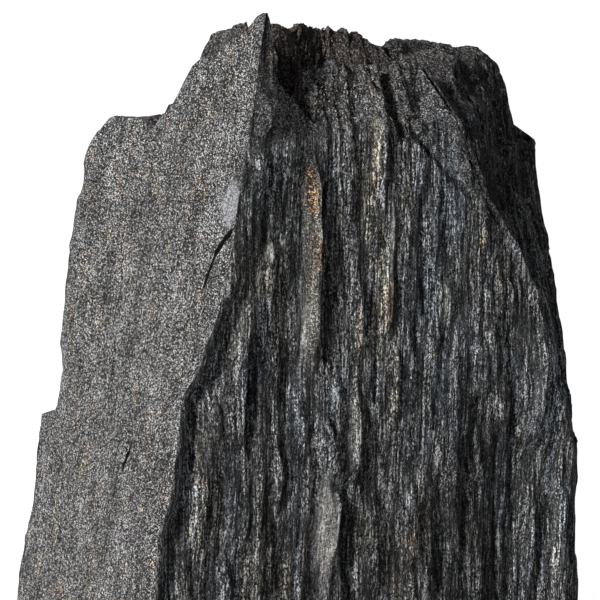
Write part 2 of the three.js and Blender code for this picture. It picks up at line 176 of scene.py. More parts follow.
# Single ridges and furrows, (x, height) of the top and bottom end, half width and rise. A slab rises
# to the right over its width and breaks off sharply at its line.
FRONT_SLABS = [
    ((4.5, 973), (-2.5, 945), 8, 4), ((-2.5, 947), (-7.5, 916), 8, 3.5), ((15, 961), (14, 901), 11, 2),
    ((63, 959), (62.5, 912), 6, 2.5), ((45.5, 941), (44.5, 901), 7, 1.5), ((27, 939), (28, 880), 8.5, 5.5),
    ((27.5, 901), (26, 840), 9.5, 5), ((91.5, 923), (90, 883), 8, 1.5), ((57.5, 919), (59, 887), 7, 2.5),
    ((68, 917), (67, 868), 3.5, 2), ((118.5, 910), (118.5, 882), 6, 2), ((3, 905), (3.5, 872), 8, 3),
    ((142, 887), (152.5, 844), 8, 3), ((-9.5, 886), (-10, 812), 8, 4), ((67, 885), (66.5, 850), 6.5, 2.5),
    ((50.5, 882), (51.5, 842), 6, 3), ((100, 877), (100, 853), 9, 2), ((132, 874), (134, 846), 5, 2),
    ((122, 868), (124, 819), 6, 2.5), ((7, 865), (6, 835), 5, 3), ((77.5, 857), (78.5, 817), 4.5, 2),
    ((-27, 854), (-17.5, 816), 5, 3), ((70.5, 852), (69.5, 804), 5, 2.5), ((151.5, 850), (149.5, 783), 11, 4),
    ((118, 847), (120, 816), 9, 2.5), ((38.5, 840), (40, 807), 7, 2.5), ((20, 833), (21, 798), 5, 2),
    ((50.5, 832), (48.5, 780), 6, 3.5), ((32, 824), (43, 785), 12, 4), ((105, 813), (104.5, 761), 8, 2),
    ((9, 811), (7.5, 780), 5, 3), ((-28.5, 809), (-30, 764), 7, 3), ((-7.5, 793), (-9, 768), 7, 2),
    ((40, 791), (37.5, 746), 11, 5), ((58.5, 786), (61, 729), 9, 3), ((149, 784), (149, 714), 7, 2.5),
    ((81, 783), (80.5, 741), 5, 3), ((4, 782), (4.5, 738), 12, 3), ((90.5, 780), (90.5, 724), 5, 2.5),
    ((167.5, 778), (170.5, 695), 12, 3), ((-20, 769), (-14, 739), 4, 3), ((119, 752), (119, 714), 5, 2.5),
    ((12, 690), (16, 560), 14, 5), ((60, 700), (64, 540), 18, 5), ((106, 640), (102, 480), 16, 5),
    ((-30, 620), (-28, 470), 14, 4), ((30, 500), (26, 330), 16, 5), ((128, 460), (132, 300), 18, 5),
    ((-10, 380), (-6, 200), 14, 5), ((70, 340), (76, 150), 18, 5), ((-52, 260), (-48, 90), 14, 4),
    ((110, 230), (112, 60), 14, 4),
]
FRONT_FEATURES = [
    ((69.5, 952), (88, 934), 3, -4), ((88, 934), (110, 912), 3.5, -3), ((0, 936), (-2.5, 899), 3.5, -2.5),
    ((38, 922), (37.5, 873), 3, -2), ((31.5, 925), (33, 846), 5, -5), ((82.5, 913), (84.5, 862), 3, -3),
    ((58, 876), (59.5, 825), 2.5, -3), ((-5, 861), (-6.5, 811), 5, -5), ((11, 850), (10.5, 791), 3.5, -3),
    ((-25.5, 847), (-17, 815), 2, -2.5), ((134.5, 825), (138, 753), 3.5, -3),
    ((113.5, 819), (110, 738), 4.5, -3), ((58, 812), (53.5, 788), 2.5, -2),
    ((126, 798), (130, 719), 3.5, -2.5), ((44, 788), (47.5, 728), 5, -6), ((95.5, 784), (95, 722), 4, -3),
    ((60, 700), (66, 540), 16, -5), ((-8, 640), (-2, 430), 12, 5), ((118, 560), (112, 370), 14, 5),
    ((36, 420), (28, 230), 12, -6), ((92, 300), (98, 80), 13, 5), ((-40, 330), (-36, 110), 12, -5),
    ((152, 760), (153.5, 716), 2.5, -3), ((9.2, 905), (8.6, 896), 3.4, 4), ((0.8, 904), (0.2, 895), 2.8, 3),
]
BACK_FEATURES = [
    ((120, 880), (112, 640), 26, -7),
    ((40, 900), (52, 700), 20, 5),
    ((-20, 800), (-34, 520), 18, -6),
    ((84, 620), (90, 380), 22, 6),
    ((20, 560), (14, 300), 24, -6),
    ((140, 480), (134, 200), 20, -7),
    ((-50, 420), (-44, 150), 18, 5),
    ((66, 330), (60, 40), 22, -6),
]

# A crack and some upright splits dented into the flat face, (y, height) of both ends, half width, rise
FLAT_DENTS = [
    ((-8, 914), (-4.5, 910), 2.4, -2.5), ((-4.5, 910), (1.3, 903.5), 2.6, -3),
    ((1.3, 903.5), (4.2, 887), 2.4, -3), ((44.5, 815), (46.4, 797), 1.6, -2),
    ((88, 891), (78, 861), 1.2, -1), ((78, 849), (71, 823), 1.2, -1),
]

# The thin cracks inside them, painted black as painted shade, (y, height) of both ends and half width
FLAT_CRACKS = [
    ((-8, 913), (-4.5, 910), 0.6), ((-4.5, 910), (0, 906), 1.6), ((0, 906), (4.2, 900), 1.7),
    ((4.2, 900), (8, 885), 1.2), ((44.5, 814), (46.4, 798), 1.0), ((88, 891), (78, 861), 0.4),
    ((78, 849), (71, 823), 0.4),
]

# Stains and seams, and painted shade, painted light and a painted bluish sheen, as the single features above,
# with their strength instead of a rise: on the front over (x, height) and on the flat face over (y, height)
STAINS_AND_PAINTED_LIGHT = {
    "rust": [
        ((22.5, 934), (23.5, 914), 5, 1), ((25, 903), (25.5, 888), 4, 0.8),
        ((65.5, 880), (65.5, 858), 2.5, 0.8), ((24, 772), (23, 758), 5, 0.4),
        ((116, 905), (116, 874), 3, 0.35), ((78, 768), (79, 748), 3, 0.4),
    ],
    "ochre": [
        ((23.5, 922), (24, 896), 5, 0.6), ((54, 930), (53, 880), 6, 0.8), ((58.5, 955), (58, 918), 4, 0.9),
        ((61, 905), (64, 855), 5, 0.7), ((50, 872), (50.5, 846), 4, 0.5), ((1, 898), (0.5, 878), 6, 0.6),
        ((-11.5, 813), (-11.5, 800), 3, 0.9), ((115, 898), (115, 878), 4, 0.7),
        ((5.5, 826), (5.5, 808), 4, 0.4), ((23.5, 895), (22.5, 850), 5, 0.5),
        ((118, 860), (119.5, 832), 4, 0.5), ((68, 850), (68, 812), 3, 0.5), ((86, 775), (87, 745), 5, 0.4),
        ((-24, 800), (-22, 765), 8, 0.4), ((119, 746), (118, 724), 4, 0.5), ((12, 770), (14, 740), 8, 0.4),
    ],
    "pale": [
        ((8.9, 903), (8.5, 898), 4.5, 2), ((0.6, 903), (0.2, 896), 3.5, 1.6),
        ((43, 866), (43, 860), 2, 0.8), ((32.5, 792), (33.5, 752), 8, 1), ((33, 760), (32.5, 736), 5, 0.6),
        ((67.2, 923), (66, 872), 1.6, 0.8), ((95, 874), (94, 858), 6, 0.6),
        ((-14, 880), (-14, 845), 5, 0.35), ((19, 875), (19, 840), 4, 0.4), ((47, 826), (46, 795), 4, 0.4),
        ((148, 836), (147, 800), 6, 0.15), ((22, 915), (21.5, 846), 5, 0.25),
    ],
    # Painted sheen: a bluish tint where the smooth facets and edges of the front would shine; on the flat
    # face it tints a bluish patch of the stone
    "blue": [
        ((5, 974), (-4, 945), 9, 0.6), ((-4, 947), (-9, 914), 8, 0.9), ((92, 945), (98, 800), 34, 1),
        ((140, 860), (140, 720), 34, 0.7), ((14, 940), (14, 890), 10, 0.5),
        ((150, 850), (154, 790), 12, 0.7), ((-12, 882), (-13.5, 826), 7, 0.6),
        ((111, 846), (112, 824), 8, 0.8), ((165, 770), (167, 738), 8, 0.8),
    ],
    # Painted shade: furrows, the gutter by the arris, the blade end and broad bands of the front are darkened
    # as if in shadow; one patch below the blade is simply darkened
    "shade": [
        ((31.5, 915), (33, 846), 4, 0.6), ((-5, 861), (-6.5, 811), 4, 0.5), ((109, 835), (116, 620), 28, 0.7),
        ((44, 784), (48, 734), 5, 0.6), ((-36, 792), (-42, 730), 5, 0.4), ((1, 1006), (-1, 966), 9, 0.9),
        ((-17, 888), (-33, 840), 5, 0.6), ((126, 805), (132, 650), 14, 0.5), ((-5, 800), (-8, 740), 6, 0.4),
        ((136, 822), (139, 756), 5, 0.4), ((2, 934), (-1, 900), 5, 0.4), ((104, 942), (142, 850), 14, 0.55),
        ((-22, 822), (-40, 660), 15, 0.45), ((3, 780), (10, 690), 9, 0.6), ((57, 800), (56, 700), 9, 0.6),
        ((3, 968), (-3, 946), 7, 0.6), ((90, 780), (92, 700), 10, 0.4), ((-11, 938), (-9, 922), 8, 0.75),
    ],
    # Painted light: ridges, the smooth patches on the right of the front, its right edge and the front below
    # the crest are lightened as if lit
    "light": [
        ((0, 935), (-4, 858), 14, 0.6), ((14, 925), (13, 860), 6, 0.6), ((163, 780), (165, 690), 9, 0.8),
        ((40, 975), (100, 955), 16, 0.6), ((60, 910), (63, 830), 8, 0.4), ((28, 850), (30, 800), 8, 0.3),
        ((110, 848), (113, 822), 8, 0.6), ((148, 850), (158, 780), 8, 0.5), ((-8, 900), (-14, 850), 6, 0.4),
    ],
    "mica": [],
}
FLAT_STAINS = {
    "ochre": [
        ((19, 975), (19, 964), 5, 0.8), ((31, 959), (30, 951), 4, 0.7), ((46, 876), (48.5, 861), 4, 0.9),
        ((30, 829), (33, 813), 4, 0.8), ((49.5, 836), (48, 827), 4, 0.8), ((14.5, 872), (12.5, 865), 4, 0.7),
        ((99, 863), (96, 849), 6, 0.7), ((23.5, 928), (21.5, 917), 4, 0.7), ((90, 905), (84, 880), 6, 0.6),
        ((70, 930), (66, 915), 5, 0.6), ((118, 880), (112, 858), 5, 0.6), ((88, 800), (90, 780), 8, 0.6),
        ((60, 760), (66, 740), 8, 0.6), ((110, 770), (104, 745), 8, 0.6),
    ],
    "blue": [((-6, 952), (-8, 928), 7, 0.8)],
    "shade": [((-4, 940), (-8, 928), 8, 0.55)],
    "mica": [((2, 928), (-1, 913), 11, 1.6)],
}
FRONT_MARK_REACH = 30.0  # the stains, painted shade and painted light of the front reach this far back
FLANK_BEND = 880.0  # the flank turns away above this height
FLANK_PAINTED_SHADE = (0.3, 0.65)  # strength of the painted shade on it, below and above the bend
GRAINY_FRONT = 0.8  # how grainy the front is right of the diagonal break, at the rim and in patches
GRAINY_RIM = 940.0  # it is grainy all along the rim above this height
GRAINY_PATCHES = [((23, 942), (23, 850), 7, 1), ((32.5, 792), (33.5, 745), 9, 1)]

# Where the broken top is brown, and where painted light lightens the crumbs shaded in its hollow: a low
# bound, the fade above it, a high bound and the fade below it, along x and height. Brown starts further back
# on the right.
BROWN_X = (10, 6, 92, 12)
BROWN_START = (6, 21)
HOLLOW_LIGHT_X = (18, 10, 72, 12)
HOLLOW_LIGHT_HEIGHT = (948, 12, 980, 8)


# Patterns

def mix(a, b, t):
    return a + (b - a) * t


def smooth(t):
    t = np.clip(t, 0, 1)
    return t * t * (3 - 2 * t)


def between(value, low, low_fade, high, high_fade):
    """1 between two bounds and 0 outside, fading in above the low bound and out below the high one."""
    return smooth((value - low) / low_fade) * smooth((high - value) / high_fade)


def along(line, at):
    """Values of a given line [at, value, ...] at one place or at many."""
    line = np.array(line, float)
    return [np.interp(at, line[:, 0], line[:, k]) for k in range(1, line.shape[1])]


def knot(i, j, seed):
    """A fixed value between -1 and 1 for each whole i and j."""
    n = np.sin(i * 127.1 + j * 311.7 + seed * 74.7) * 43758.5453
    return 2 * (n - np.floor(n)) - 1


def lumps(u, v, seed):
    """A fixed pattern of lumps between -1 and 1, one for each unit of u and v."""
    i, j = np.floor(u), np.floor(v)
    s, t = smooth(u - i), smooth(v - j)
    low = mix(knot(i, j, seed), knot(i + 1, j, seed), s)
    high = mix(knot(i, j + 1, seed), knot(i + 1, j + 1, seed), s)
    return mix(low, high, t)


def ribs(u, v, seed):
    """The same with sharp crests at 1 and wide hollows down to -1."""
    return 1 - 2 * np.abs(lumps(u, v, seed)) ** 0.7


def shards(u, v, seed):
    """Long shards about one unit apart, pointed at their ends, each tilted and standing at its own height."""
    i, j = np.floor(u), np.floor(v)
    nearest = np.full(np.shape(i + j), 9.0)
    height = np.zeros_like(nearest)
    for a in (-1, 0, 1):
        for b in (-1, 0, 1):
            centre_u = i + a + 0.5 + 0.42 * knot(i + a, j + b, seed)
            centre_v = j + b + 0.5 + 0.42 * knot(i + a, j + b, seed + 1)
            distance = np.hypot(u - centre_u, v - centre_v)
            level = 0.6 * knot(i + a, j + b, seed + 2)
            tilt = 0.9 + 0.7 * knot(i + a, j + b, seed + 3)
            closer = distance < nearest
            height = np.where(closer, level + tilt * (u - centre_u), height)
            nearest = np.where(closer, distance, nearest)
    return height


def flakes(u, v, seed):
    """Flat levels one unit apart, with short steps between them."""
    level = 2.5 * lumps(u, v, seed)
    return np.floor(level) + smooth((level - np.floor(level) - 0.75) / 0.25)


def inside_streak(u, v, start, end, width):
    """How far a place lies inside a streak that narrows to its ends: 1 on its line, 0 outside."""
    du, dv = end[0] - start[0], end[1] - start[1]
    t = np.clip(((u - start[0]) * du + (v - start[1]) * dv) / (du * du + dv * dv), 0, 1)
    distance = np.hypot(u - start[0] - t * du, v - start[1] - t * dv)
    return smooth(1 - distance / (width * (0.4 + 2.4 * t * (1 - t))))


def streaks(features, u, v):
    return sum(rise * inside_streak(u, v, start, end, width) for start, end, width, rise in features)


def slabs(features, u, v):
    """Slabs that rise to the right and break off sharply at their line, tapering to both ends."""
    height = 0
    for start, end, width, rise in features:
        t = (v - start[1]) / (end[1] - start[1])
        beside = u - mix(start[0], end[0], t)
        lens = smooth(4 * t) * smooth(2.4 * (1 - t))
        profile = np.where(beside < 0, smooth(1 + beside / width), smooth(1 - beside / BREAK_WIDTH))
        height = height + rise * lens * profile
    return height


def sway(u, v):
    """How far the strands bend aside at a place, mm."""
    return 3.4 * lumps(u / 34, v / 90, 40) + 1.2 * lumps(u / 13, v / 40, 41) + 0.4 * lumps(u / 5, v / 18, 42)


# Relief of the five faces, how far a place stands out in mm

def front_relief(x, z):
    """Long swells, upright shards, the single slabs, ridges and furrows, and the gutter."""
    fibre = x + 5 * lumps(x / 60, z / 130, 1)
    swell = 2.2 * lumps(fibre / 36, z / 170, 2)
    bent = x + sway(x, z)
    calm = 1 - 0.8 * inside_streak(x, z, *CALM_RIDGE)
    rise = mix(*SHARD_RISE, smooth((LOWER_PART - z) / 60))
    broad = calm * rise * shards(bent / 12, z / 90, 18)
    fine = 0.65 * shards(bent / 4.4, z / 34, 20)
    gutter = smooth(1 - np.abs(x - along(FLAT_AT_ARRIS, z)[0] - GUTTER_WIDTH) / GUTTER_WIDTH)
    gutter = GUTTER_DEPTH * gutter * between(z, *GUTTER_SPAN)
    near = x + HAND_SWAY * sway(x, z)
    return swell + broad + fine + streaks(FRONT_FEATURES, near, z) + slabs(FRONT_SLABS, near, z) - gutter


def flank_relief(x, z):
    """The ends of the sheets, each standing out past the next."""
    step = x / 11 + 0.7 * lumps(x / 30, z / 45, 4)
    coarse = 3 * (0.5 - (step - np.floor(step))) + 1.5 * lumps(x / 9, z / 38, 5)
    blocks = 2.4 * lumps(x / 8, z / 15, 28) * smooth((z - BLOCKS_FROM) / 30)
    return coarse + blocks + 1.2 * shards((x + sway(x, z)) / 5, z / 30, 22)


def back_relief(x, z):
    fibre = x + 7 * lumps(x / 70, z / 140, 6) + 1.5 * lumps(x / 12, z / 45, 24)
    coarse = 3 * lumps(fibre / 46, z / 150, 7) + 2 * ribs(fibre / 24, z / 140, 8)
    fine = 1.8 * shards((x + sway(x, z)) / 12, z / 75, 25)
    return coarse + fine + streaks(BACK_FEATURES, x, z)


def side_relief(y, z):
    """A cleavage face from which some sheets flaked off."""
    coarse = SHEET_THICKNESS * flakes(y / 58, z / 190, 9) + 0.9 * lumps(y / 21, z / 60, 10)
    return coarse + 0.8 * shards((y + sway(y, z)) / 9, z / 60, 27)


def flat_relief(y, z):
    """It only swells a little above, and has lost a few thin sheets lower down."""
    lost = np.minimum(0, SHEET_THICKNESS * flakes(y / 66, z / 210, 15)) * smooth((LOST_BELOW - z) / 90)
    return 1.2 * lumps(y / 42, z / 110, 11) + 0.8 * lost + streaks(FLAT_DENTS, y, z)


# Walls: a corner has a plain place, which its faces span, and a chip, which moves only what is near

def ragged(z, seed):
    """How far a chipped corner strays at a height."""
    return 1.1 * lumps(z / 9, seed, 30) + 0.6 * lumps(z / 3.5, seed, 31)


def arris(z):
    return (along(FLAT_AT_ARRIS, z)[0], FRONT_Y), (0, along(ARRIS, z)[0] - FRONT_Y + 0.5 * ragged(z, 0))


def flank_edge(z):
    return along(FLANK_EDGE, z), (ragged(z, 1), 0)


def outer_edge(z):
    return along(OUTER_EDGE, z), (0.5 * ragged(z, 2), 0)


def back_corner(z):
    return along(BACK_CORNER, z), (ragged(z, 3), ragged(z, 4))


def back_edge(z):
    return (along(FLAT_AT_BACK, z)[0], BACK_Y), (0, along(BACK_EDGE, z)[0] - BACK_Y + ragged(z, 5))


# The faces in order round the post: corners, columns, relief, whether it is drawn over x (0) or
# y (1), and how much closer the columns stand towards the face's second corner
FACES = [
    dict(name="front", start=arris, end=flank_edge, columns=204, relief=front_relief, over=0, crowd=1),
    dict(name="flank", start=flank_edge, end=outer_edge, columns=36, relief=flank_relief, over=0, crowd=1),
    dict(name="side", start=outer_edge, end=back_corner, columns=22, relief=side_relief, over=1, crowd=1),
    dict(name="back", start=back_corner, end=back_edge, columns=40, relief=back_relief, over=0, crowd=1),
    dict(name="flat", start=back_edge, end=arris, columns=58, relief=flat_relief, over=1, crowd=1.5),
]


def wall(face, u, z):
    """Plan place of a wall at a share u of the way along its face, at height z."""
    (x0, y0), chip0 = face["start"](z)
    (x1, y1), chip1 = face["end"](z)
    width = np.hypot(x1 - x0, y1 - y0)
    place = mix(x0, x1, u), mix(y0, y1, u)
    fade = smooth(np.minimum(u, 1 - u) * width / CORNER_FADE)
    out = fade * face["relief"](place[face["over"]], z) / width
    reach = np.minimum(CHIP_REACH, width)
    near0 = smooth(1 - u * width / reach)
    near1 = smooth(1 - (1 - u) * width / reach)
    x = place[0] + out * (y1 - y0) + near0 * chip0[0] + near1 * chip1[0]
    y = place[1] - out * (x1 - x0) + near0 * chip0[1] + near1 * chip1[1]
    return x, y


def top_height(x, y):
    """Height of the broken top over a plan place."""
    warp_x = x + 1.5 * lumps(x / 14, y / 14, 12)
    warp_y = y + 2 * lumps(x / 12, y / 16, 13)
    crest_y = warp_y + 6 * lumps(x / 30, y / 50, 16)
    height = np.maximum(TOP_FLOOR, along(CREST, warp_x)[0] + along(CREST_SECTION, crest_y)[0])
    for sheet in SHEETS:
        start, end = sheet["start"], sheet["end"]
        beside = np.maximum(0, np.maximum(start - warp_x, warp_x - end))
        on_sheet = along(sheet["line"], warp_y)[0] + sheet["tilt"] * (np.clip(warp_x, start, end) - start)
        height = np.maximum(height, on_sheet - sheet["fall"] * beside)
    height = height + streaks(NOTCHES, x, y) + 1.5 * lumps(x / 12, y / 14, 14)
    return height + 0.4 * lumps(x / 4.5, y / 4.5, 33) + 0.2 * lumps(x / 2.2, y / 2.2, 35)


def rim_heights(face, u):
    """Heights at which the columns of a wall meet the broken top, found by halving."""
    low = np.full(u.shape, TOP_FLOOR - 60)
    high = np.full(u.shape, TIP_HEIGHT + 20)
    for _ in range(RIM_HALVINGS):
        middle = (low + high) / 2
        above = top_height(*wall(face, u, middle)) > middle
        low = np.where(above, middle, low)
        high = np.where(above, high, middle)
    return low


def top_lines(x0, y0):
    """Points from the rim almost to the core, evenly far apart along the uneven surface."""
    t = np.linspace(0, 1, STEPS_TO_CORE)
    x, y = mix(x0[:, None], CORE[0], t), mix(y0[:, None], CORE[1], t)
    z = top_height(x, y)
    step = np.sqrt(np.diff(x) ** 2 + np.diff(y) ** 2 + np.diff(z) ** 2)
    length = np.concatenate([np.zeros((len(x0), 1)), np.cumsum(step, axis=1)], axis=1)
    stops = length[:, -1:] * np.arange(1, TOP_RINGS) / TOP_RINGS
    t = np.array([np.interp(stop, run, t) for stop, run in zip(stops, length)])
    x, y = mix(x0[:, None], CORE[0], t), mix(y0[:, None], CORE[1], t)
    return np.stack([x, y, top_height(x, y)], axis=-1)


def columns_of(face):
    """The columns of one face: up the wall to the rim, then over the top."""
    u = np.arange(face["columns"]) / face["columns"]
    u = 1 - (1 - u) ** face["crowd"]
    rim = rim_heights(face, u)
    low = np.linspace(0, COARSE_HEIGHT, LOW_ROWS, endpoint=False)
    middle = np.linspace(COARSE_HEIGHT, EVEN_HEIGHT, MID_ROWS, endpoint=False)
    even = np.tile(np.concatenate([low, middle]), (len(u), 1))
    upper = np.linspace(np.full(len(u), EVEN_HEIGHT), rim, RIM_ROWS + 1, axis=1)
    z = np.concatenate([even, upper], axis=1)
    x, y = wall(face, u[:, None], z)
    return np.concatenate([np.stack([x, y, z], axis=-1), top_lines(x[:, -1], y[:, -1])], axis=1)


def joined(count, rows):
    """The faces between neighbouring columns, and the fans that close the foot and the core."""
    here, there = np.arange(count), (np.arange(count) + 1) % count
    k = np.arange(rows - 1)
    left, right = here[:, None] * rows + k, there[:, None] * rows + k
    quads = np.stack([left, right, right + 1, left + 1], axis=-1).reshape(-1, 4)
    foot, core = count * rows, count * rows + 1
    fans = [(foot, b, a) for a, b in zip(here * rows, there * rows)]
    fans += [(core, a, b) for a, b in zip(here * rows + rows - 1, there * rows + rows - 1)]
    return quads.tolist() + fans


def marks_of(points, face_names, on_top):
    """What the node tree and the material read at each point: its face, stains, painted shade and light, and
    bend of strands.
    """
    x, y, z = points.T
    bend = sway(x, z)
    near = x + HAND_SWAY * bend

    def on_wall(name):
        foot_and_core = [0.0, 0.0]
        return np.append(((face_names == name)[:, None] * (1 - on_top)).ravel(), foot_and_core)

    marks = {"flat_face": on_wall("flat"), "broken_top": np.append(on_top.ravel(), [0.0, 1.0])}
    on_front = smooth((FRONT_MARK_REACH - y) / 20) * (1 - marks["flat_face"])
    for name, lines in STAINS_AND_PAINTED_LIGHT.items():
        on_flat_face = marks["flat_face"] * streaks(FLAT_STAINS.get(name, []), y, z)
        marks[name] = np.clip(on_front * streaks(lines, near, z) + on_flat_face, 0, 1)
    # Painted shade on the flank, stronger above its bend, where it turns away from the key light
    flank_painted_shade = on_wall("flank") * mix(*FLANK_PAINTED_SHADE, smooth((z - FLANK_BEND) / 50))
    marks["shade"] = np.clip(marks["shade"] + flank_painted_shade, 0, 1)

    past_break = x - DIAGONAL_START[0] - DIAGONAL_RUN * (DIAGONAL_START[1] - z)
    grainy = np.maximum(smooth((z - GRAINY_RIM) / 15), smooth(past_break / 6))
    grainy = np.maximum(grainy, streaks(GRAINY_PATCHES, near, z))
    marks["grainy"] = marks["flat_face"] + GRAINY_FRONT * on_wall("front") * grainy
    marks["sway"] = bend
    brown_from = mix(*BROWN_START, smooth((x - 26) / 8))
    marks["brown"] = between(x, *BROWN_X) * between(y, brown_from, 9, 75, 20)
    marks["hollow"] = between(x, *HOLLOW_LIGHT_X) * between(z, *HOLLOW_LIGHT_HEIGHT) * smooth((48 - y) / 8)
    return marks


def stone_mesh():
    """Joins the columns into one closed skin and marks its parts, stains, and painted shade and light."""
    columns = [columns_of(face) for face in FACES]
    face_names = np.concatenate([np.full(len(c), face["name"]) for c, face in zip(columns, FACES)])
    columns = np.concatenate(columns)
    count, rows, _ = columns.shape
    centre = [[*CORE, 0.0], [*CORE, float(top_height(*CORE))]]
    points = np.concatenate([columns.reshape(-1, 3), centre])
    mesh = bpy.data.meshes.new("schist stone")
    mesh.from_pydata(((points + TIP) * MM).tolist(), [], joined(count, rows))
    mesh.polygons.foreach_set("use_smooth", [True] * len(mesh.polygons))
    wall_rows = LOW_ROWS + MID_ROWS + RIM_ROWS + 1
    on_top = np.tile(np.arange(rows) >= wall_rows, (count, 1)).astype(float)
    for name, values in marks_of(points, face_names, on_top).items():
        attribute = mesh.attributes.new(name, "FLOAT", "POINT")
        attribute.data.foreach_set("value", values)
    mesh.update()
    return mesh


# Wiring of shader and geometry trees

class Wiring:
    """Adds nodes to a shader or geometry tree and joins them."""

    def __init__(self, tree):
        self.tree = tree

    def node(self, kind, inputs=None, **settings):
        node = self.tree.nodes.new(kind)
        for name, value in settings.items():
            setattr(node, name, value)
        for key, value in (inputs or {}).items():
            if isinstance(value, bpy.types.NodeSocket):
                self.tree.links.new(value, node.inputs[key])
            else:
                node.inputs[key].default_value = value
        return node

    def math(self, operation, a, b=0.0, clamp=False):
        return self.node("ShaderNodeMath", {0: a, 1: b}, operation=operation, use_clamp=clamp).outputs[0]

    def weighted(self, *parts):
        """The sum of values, each times its weight."""
        total = self.math("MULTIPLY", *parts[0])
        for part in parts[1:]:
            total = self.math("ADD", total, self.math("MULTIPLY", *part))
        return total

    def centred(self, value):
        return self.math("SUBTRACT", value, 0.5)

    def vector(self, operation, a, b):
        return self.node("ShaderNodeVectorMath", {0: a, 1: b}, operation=operation).outputs[0]

    def measure(self, operation, a, b):
        """A number that comes of two vectors."""
        return self.node("ShaderNodeVectorMath", {0: a, 1: b}, operation=operation).outputs["Value"]

    def scaled(self, vector, length):
        return self.node("ShaderNodeVectorMath", {0: vector, 3: length}, operation="SCALE").outputs[0]

    def aside(self, place, shift):
        """A place moved as far along x as along y."""
        return self.vector("ADD", place, self.node("ShaderNodeCombineXYZ", {0: shift, 1: shift}).outputs[0])

    def mix(self, factor, a, b):
        return self.node("ShaderNodeMix", {0: factor, 2: a, 3: b}).outputs[0]

    def colour(self, factor, a, b, blend="MIX"):
        inputs = {0: factor, 6: a, 7: b}
        return self.node("ShaderNodeMix", inputs, data_type="RGBA", blend_type=blend).outputs[2]

    def tinted(self, colour, tint):
        return self.colour(1.0, colour, tint, "MULTIPLY")

    def span(self, value, low, high, to_low=0.0, to_high=1.0):
        inputs = {0: value, 1: low, 2: high, 3: to_low, 4: to_high}
        return self.node("ShaderNodeMapRange", inputs, interpolation_type="SMOOTHSTEP").outputs[0]

    def noise(self, place, scale=1.0, detail=2.0, roughness=0.5):
        inputs = {"Vector": place, "Scale": scale, "Detail": detail, "Roughness": roughness}
        return self.node("ShaderNodeTexNoise", inputs).outputs[0]

    def patches(self, place, size, detail=2.0):
        """A noise whose lumps have about the given size along x, y and z."""
        return self.noise(self.vector("DIVIDE", place, size), 1.0, detail)

    def cells(self, place):
        """Three fixed values for each cell about one unit wide."""
        cells = self.node("ShaderNodeTexVoronoi", {"Vector": place, "Scale": 1.0})
        return self.node("ShaderNodeSeparateColor", {0: cells.outputs["Color"]}).outputs

    def tones(self, value, stops):
        """A colour ramp through (place, colour) stops."""
        node = self.node("ShaderNodeValToRGB", {0: value})
        ramp = node.color_ramp
        while len(ramp.elements) < len(stops):
            ramp.elements.new(1.0)
        for element, (at, colour) in zip(ramp.elements, stops):
            element.position = at
            element.color = (*colour, 1) if isinstance(colour, tuple) else (colour, colour, colour, 1)
        return node.outputs[0]


STRAND_SIZES = ("Width", "Depth", "Length")


def strands_group(kind):
    """Upright strands, for shader and geometry trees: Height is 0 in the gaps and 1 on the crests."""
    tree = bpy.data.node_groups.new("strands", kind)
    tree.interface.new_socket("Place", in_out="INPUT", socket_type="NodeSocketVector")
    for name in STRAND_SIZES:
        tree.interface.new_socket(name, in_out="INPUT", socket_type="NodeSocketFloat")
    tree.interface.new_socket("Height", in_out="OUTPUT", socket_type="NodeSocketFloat")
    w = Wiring(tree)
    given = w.node("NodeGroupInput").outputs
    sizes = {k: given[name] for k, name in enumerate(STRAND_SIZES)}
    size = w.node("ShaderNodeCombineXYZ", sizes).outputs[0]
    height = w.span(w.noise(w.vector("DIVIDE", given["Place"], size), 1.0, 3.0, 0.6), 0.28, 0.72)
    w.node("NodeGroupOutput", {0: height})
    return tree


def strands(w, group, place, *sizes):
    """Strands of a width, depth and length in mm."""
    kind = "ShaderNodeGroup" if w.tree.bl_idname == "ShaderNodeTree" else "GeometryNodeGroup"
    node = w.tree.nodes.new(kind)
    node.node_tree = group
    w.tree.links.new(place, node.inputs["Place"])
    for name, size in zip(STRAND_SIZES, sizes):
        node.inputs[name].default_value = size
    return node.outputs["Height"]


# Schist

TO_MM = (1000.0, 1000.0, 1000.0)
GRAIN_SIZE = (0.5, 0.65, 0.45)  # mm along x, y and z
GRIT_SIZE = (0.4, 0.4, 0.75)
CRACK_WOBBLE = (0.0, 1.6, 1.6)  # how far a thin crack strays from its straight line
BUMP_DEPTH = 0.0013  # m
FOOT_FADE = (0.0005, 0.012)  # the roughening starts at the first height and is whole at the second, m

# Colours along the brightness of the grains, the fibres, the chalky seams and the silvery mica
GRAIN_TONES = [
    (0.18, (0.004, 0.004, 0.004)), (0.38, (0.03, 0.029, 0.029)), (0.52, (0.08, 0.078, 0.076)),
    (0.69, (0.19, 0.186, 0.18)), (0.87, (0.88, 0.87, 0.86)),
]
FIBRE_TONES = [(0.2, 0.003), (0.37, 0.022), (0.52, 0.095), (0.63, 0.38), (0.76, 1.0)]
CHALKY_TONES = [(0.3, (0.2, 0.19, 0.17)), (0.5, (0.48, 0.46, 0.42)), (0.7, (0.85, 0.82, 0.76))]
SILVERY_TONES = [(0.25, (0.26, 0.265, 0.28)), (0.5, (0.45, 0.46, 0.48)), (0.75, (0.62, 0.63, 0.65))]
FIBRE_HUES = [(0.36, (0.94, 1.0, 1.07)), (0.5, (1.0, 1.0, 1.0)), (0.64, (1.06, 1.02, 0.95))]

